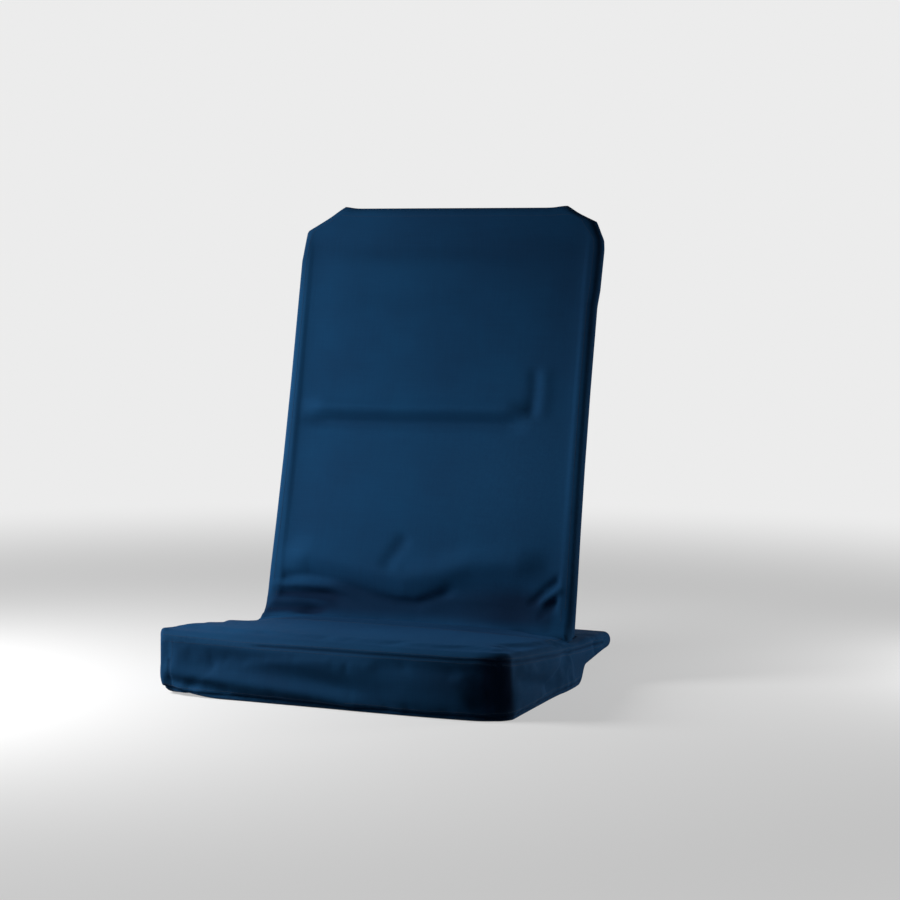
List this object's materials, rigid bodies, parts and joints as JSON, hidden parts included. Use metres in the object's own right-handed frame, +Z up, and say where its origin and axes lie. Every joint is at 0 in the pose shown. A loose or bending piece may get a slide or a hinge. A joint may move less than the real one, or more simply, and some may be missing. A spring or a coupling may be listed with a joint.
{
  "type": "folding floor chair",
  "caption": "Legless folding floor chair: wedge seat cushion in navy cotton duck on a tube frame, with a sleeved tube back that folds forward flat onto the seat.",
  "frame": {"origin": "on the floor, under the middle of the chair's bounding box", "axes": "+Z up, +Y from the front of the seat to its rear, +X to the right seen from the front"},
  "size_m": [0.4994, 0.4342, 0.6691],
  "materials": {
    "navy_duck": "plain-weave cotton duck, matt, softly creased",
    "foam": "open-cell polyurethane foam",
    "fastening_tape": "woven hook and loop tape",
    "black_steel": "satin black powder coat on steel tube",
    "zinc_steel": "bright zinc plate",
    "nylon": "natural nylon",
    "black_plastic": "moulded polyethylene"
  },
  "bodies": {
    "seat": {"seat_hoop": "black_steel", "seat_rear_bar": "black_steel", "seat_mid_bar": "black_steel", "hinge_plate_left": "black_steel", "hinge_plate_right": "black_steel", "stop_pin_left": "zinc_steel", "stop_pin_right": "zinc_steel", "pivot_bolt_left": "zinc_steel", "pivot_bolt_right": "zinc_steel", "pivot_nut_left": "zinc_steel", "pivot_nut_right": "zinc_steel", "nut_washer_left": "zinc_steel", "nut_washer_right": "zinc_steel", "pivot_spacer_left": "nylon", "pivot_spacer_right": "nylon", "rear_bar_plug_left": "black_plastic", "rear_bar_plug_right": "black_plastic", "seat_foam_base": "foam", "seat_foam_top": "foam", "seat_cover": "navy_duck", "closure_flap": "navy_duck", "lap_cloth": "navy_duck", "loop_tape": "fastening_tape", "hook_tape": "fastening_tape"},
    "back": {"back_hoop": "black_steel", "back_lower_bar": "black_steel", "crush_sleeve_left": "zinc_steel", "crush_sleeve_right": "zinc_steel", "leg_plug_left": "black_plastic", "leg_plug_right": "black_plastic", "back_sleeve": "navy_duck"}
  },
  "joints": [
    {"name": "back_fold", "type": "hinge", "parent": "seat", "child": "back", "pos_m": [0, 0.08314, 0.08298], "axis": [1, 0, 0], "range_deg": [0, 98], "deforming": ["lap_cloth"]}
  ]
}
